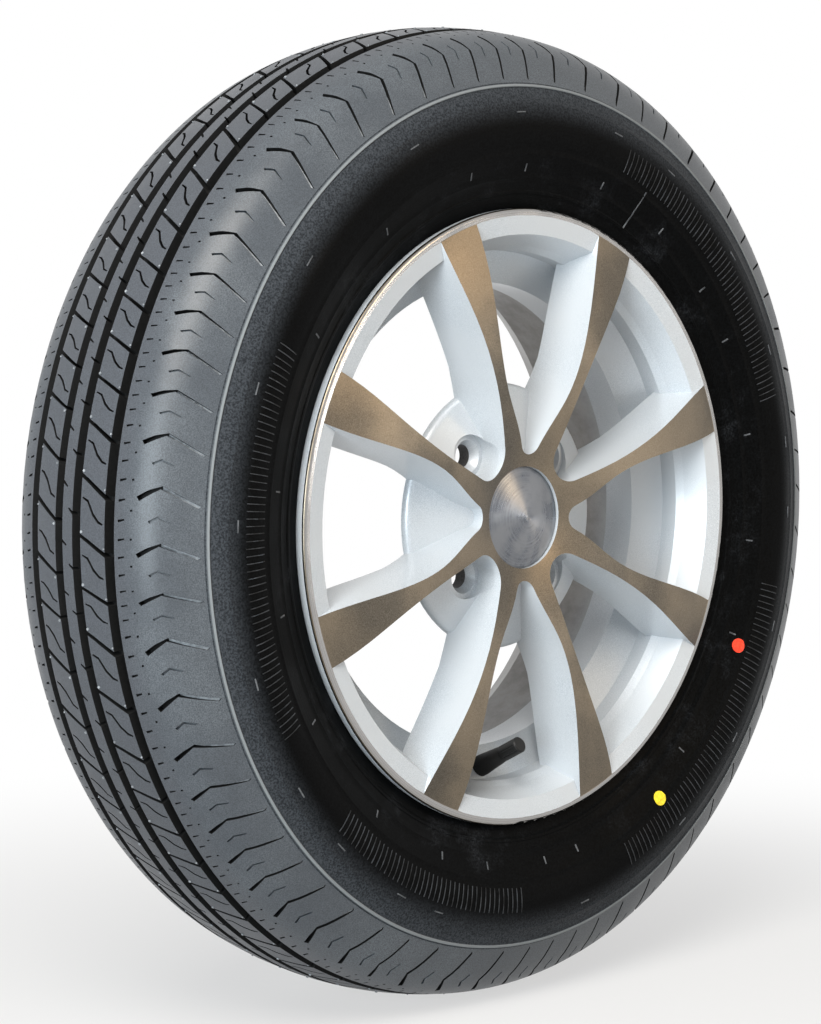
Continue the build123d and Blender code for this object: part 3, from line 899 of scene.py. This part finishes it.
def add_marks(section, corners, faces):
    """Short dashes and bands of fine hatching moulded on the street sidewall."""
    # The dashes and the seam mark take the pale rubber, a painted highlight
    for radius, length, width, height, turn in DASH_ROWS:
        for angle in DASH_ANGLES:
            radii = (radius - length / 2, radius + length / 2)
            add_bar(section, corners, faces, angle + turn, radii, width, height, DASH_HIGHLIGHT)
    add_bar(section, corners, faces, *SEAM_MARK, DASH_HIGHLIGHT)
    # The hatching takes the slightly paler rubber, a painted highlight
    for start, stop in HATCHED:
        for step in range(int((stop - start) / HATCH_STEP)):
            angle = start + step * HATCH_STEP
            add_bar(section, corners, faces, angle, HATCH_BAND, HATCH_WIDTH, HATCH_HEIGHT, HATCH_HIGHLIGHT)


def make_dot(section, name, angle, radius):
    """A dab of paint that follows the street sidewall."""
    middle = section.down_to(radius)
    corners = []
    faces = []
    rows = []
    for share in DOT_ROWS:
        height = DOT_HEIGHT if share < 1 else -DOT_HEIGHT
        row = []
        for step in range(DOT_SIDES):
            turn = math.tau * step / DOT_SIDES
            swing = math.degrees(share * DOT_RADIUS * math.sin(turn) / radius)
            reach = middle + share * DOT_RADIUS * math.cos(turn)
            foot, out = section.stand(reach, angle + swing)
            row.append(foot + out * (height + ring_height(section.at(reach)[0])))
        rows.append(row)
    add_band(corners, faces, rows, DAB)
    faces.append((list(range(len(corners) - DOT_SIDES, len(corners))), DAB))
    dot = new_piece(name, corners, faces)
    dot.data.materials.append(dot_paint(name))
    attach(dot, "wheel_body")


def add_band(corners, faces, rows, kind):
    """Joins rows of corners that run right round into a band of faces."""
    first = len(corners)
    count = len(rows[0])
    for row in rows:
        corners += row
    for row in range(len(rows) - 1):
        for column in range(count):
            following = (column + 1) % count
            low = first + row * count
            high = low + count
            faces.append(([low + column, low + following, high + following, high + column], kind))


def new_piece(name, corners, faces):
    """A mesh with its doubled corners joined, its faces turned outwards and its sharp edges kept."""
    mesh = bpy.data.meshes.new(name)
    shape = bmesh.new()
    made = [shape.verts.new(corner) for corner in corners]
    for loop, kind in faces:
        shape.faces.new([made[index] for index in loop]).material_index = kind
    bmesh.ops.remove_doubles(shape, verts=shape.verts, dist=JOIN_DISTANCE)
    bmesh.ops.dissolve_degenerate(shape, edges=shape.edges, dist=SLIVER_EDGE)
    bmesh.ops.recalc_face_normals(shape, faces=shape.faces)
    shape.to_mesh(mesh)
    shape.free()
    mesh.shade_smooth()
    mesh.set_sharp_from_angle(angle=math.radians(SMOOTH_ANGLE))
    piece = bpy.data.objects.new(name, mesh)
    bpy.context.scene.collection.objects.link(piece)
    return piece


def make_spring(material):
    """The valve core's spring, copied and fixed to the wheel body in place of the imported one."""
    node = nodes["valve_core_spring"]
    spring = bpy.data.objects.new("core_spring_coil", node.data.copy())
    bpy.context.scene.collection.objects.link(spring)
    spring.data.materials.clear()
    spring.data.materials.append(material)
    joint = next(joint for joint in frame["joints"] if joint["name"] == "pin_press")
    inwards = Vector(joint["axis"])
    places = sorted((vertex.co.copy() for vertex in node.data.vertices), key=inwards.dot)
    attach(spring, "wheel_body")
    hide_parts("valve_core_spring")
    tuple(places[-1])
    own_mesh(spring)


# Stage


def make_light(name, place, size, power, colour):
    data = bpy.data.lights.new(name, "AREA")
    data.shape = "RECTANGLE"
    data.size, data.size_y = size
    data.energy = power
    data.color = colour
    light = bpy.data.objects.new(name, data)
    light.location = place
    light.rotation_euler = (-Vector(place)).to_track_quat("-Z", "Y").to_euler()
    bpy.context.scene.collection.objects.link(light)


def make_world():
    world = bpy.data.worlds.new("studio")
    bpy.context.scene.world = world
    world.use_nodes = True
    sky = Nodes(world.node_tree)
    back = sky.tree.nodes["Background"]
    back.inputs["Color"].default_value = WORLD_COLOUR
    back.inputs["Strength"].default_value = WORLD_STRENGTH
    white = sky.add("Background")
    white.inputs["Color"].default_value = grey(1.0)
    white.inputs["Strength"].default_value = 1.0
    sky.choose(sky.seen(), back.outputs[0], white.outputs[0], "World Output")


def make_floor():
    mesh = bpy.data.meshes.new("floor")
    corners = [(-FLOOR_HALF, -FLOOR_HALF), (FLOOR_HALF, -FLOOR_HALF)]
    corners += [(FLOOR_HALF, FLOOR_HALF), (-FLOOR_HALF, FLOOR_HALF)]
    mesh.from_pydata([(x, y, cad_low.z) for x, y in corners], [], [(0, 1, 2, 3)])
    floor = bpy.data.objects.new("floor", mesh)
    bpy.context.scene.collection.objects.link(floor)
    paint = Paint("floor")
    paint.set(base_color=grey(FLOOR_GREY), roughness=FLOOR_ROUGHNESS)
    length = paint.add("VectorMath", operation="LENGTH")
    paint.feed(paint.place(), length.inputs[0])
    white = paint.range(length.outputs["Value"], *FLOOR_FADE, *FLOOR_WHITE)
    share = paint.math("MULTIPLY", paint.seen(), white)
    glow = paint.add("Emission")
    paint.choose(share, paint.surface.outputs[0], glow.outputs[0], "Material Output")
    mesh.materials.append(paint.material)


def make_camera():
    data = bpy.data.cameras.new("camera")
    data.lens = CAMERA_LENS
    data.shift_x = CAMERA_SHIFT
    camera = bpy.data.objects.new("camera", data)
    turn = math.radians(CAMERA_AZIMUTH)
    rise = math.radians(CAMERA_ELEVATION)
    back = Vector((math.sin(turn) * math.cos(rise), -math.cos(turn) * math.cos(rise), math.sin(rise)))
    camera.location = back * CAMERA_DISTANCE
    camera.rotation_euler = (-back).to_track_quat("-Z", "Y").to_euler()
    bpy.context.scene.collection.objects.link(camera)
    bpy.context.scene.camera = camera


dress_wheel()
tyre = make_tyre()
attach(tyre, "wheel_body")
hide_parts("tyre")
dress(["centre_cap"], bright_plating())
wire = plain_metal("spring_wire", grey(0.4), grey(0.6), 0.3)
dress(["centre_cap_ring", "valve_core_spring"], wire)
make_spring(wire)
brass = plain_metal("turned_brass", (0.62, 0.43, 0.16, 1.0), (0.78, 0.60, 0.28, 1.0), 0.25)
dress(["valve_insert", "valve_core_barrel", "valve_core_pin"], brass)
dress(["valve_body"], plain_moulding("valve_rubber", 0.010, 0.022, 0.5))
seals = ["valve_core_gasket", "valve_core_cup", "valve_cap_seal"]
dress(seals, plain_moulding("seal_rubber", 0.03, 0.05, 0.5))
dress(["valve_cap"], plain_moulding("cap_plastic", 0.008, 0.016, 0.35))

make_world()
make_floor()
make_camera()
for light in LIGHTS:
    make_light(*light)
bpy.context.scene.view_settings.view_transform = "Standard"
